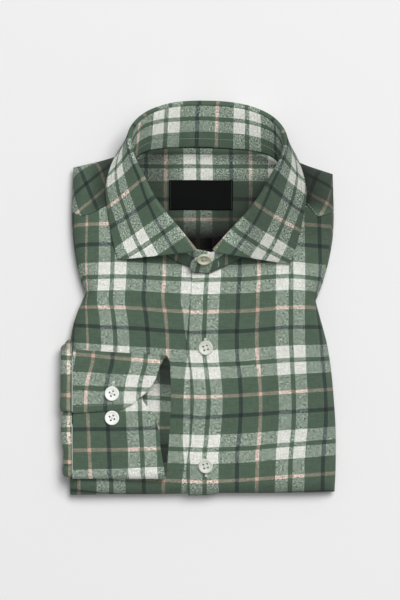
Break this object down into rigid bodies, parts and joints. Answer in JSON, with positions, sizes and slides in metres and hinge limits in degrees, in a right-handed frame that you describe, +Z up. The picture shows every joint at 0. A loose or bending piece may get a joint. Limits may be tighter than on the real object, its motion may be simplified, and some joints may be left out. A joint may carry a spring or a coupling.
{
  "type": "folded flannel shirt",
  "caption": "Long-sleeved checked flannel shirt, buttoned and folded flat with its spread collar standing and a cuff brought to the front.",
  "frame": {"origin": "centre of the bounding box's underside, on the surface that the shirt lies on", "axes": "+X to the right of the folded shirt as it is looked at from above, +Y towards the collar, +Z up"},
  "size_m": [0.2317, 0.3314, 0.0506],
  "materials": {
    "flannel": "brushed cotton twill in a green, off-white, navy and pink check",
    "button": "off-white shell-like resin with a soft gloss",
    "label": "plain black satin, bare"
  },
  "bodies": {
    "root": {"folded_layers": "flannel", "front_over": "flannel", "front_under": "flannel", "yoke": "flannel", "inner_yoke": "flannel", "collar_band": "flannel", "collar_leaf": "flannel", "sleeve": "flannel", "cuff": "flannel", "neck_label": "label", "collar_button": "button", "front_button_1": "button", "front_button_2": "button", "cuff_button_1": "button", "cuff_button_2": "button"}
  },
  "joints": []
}
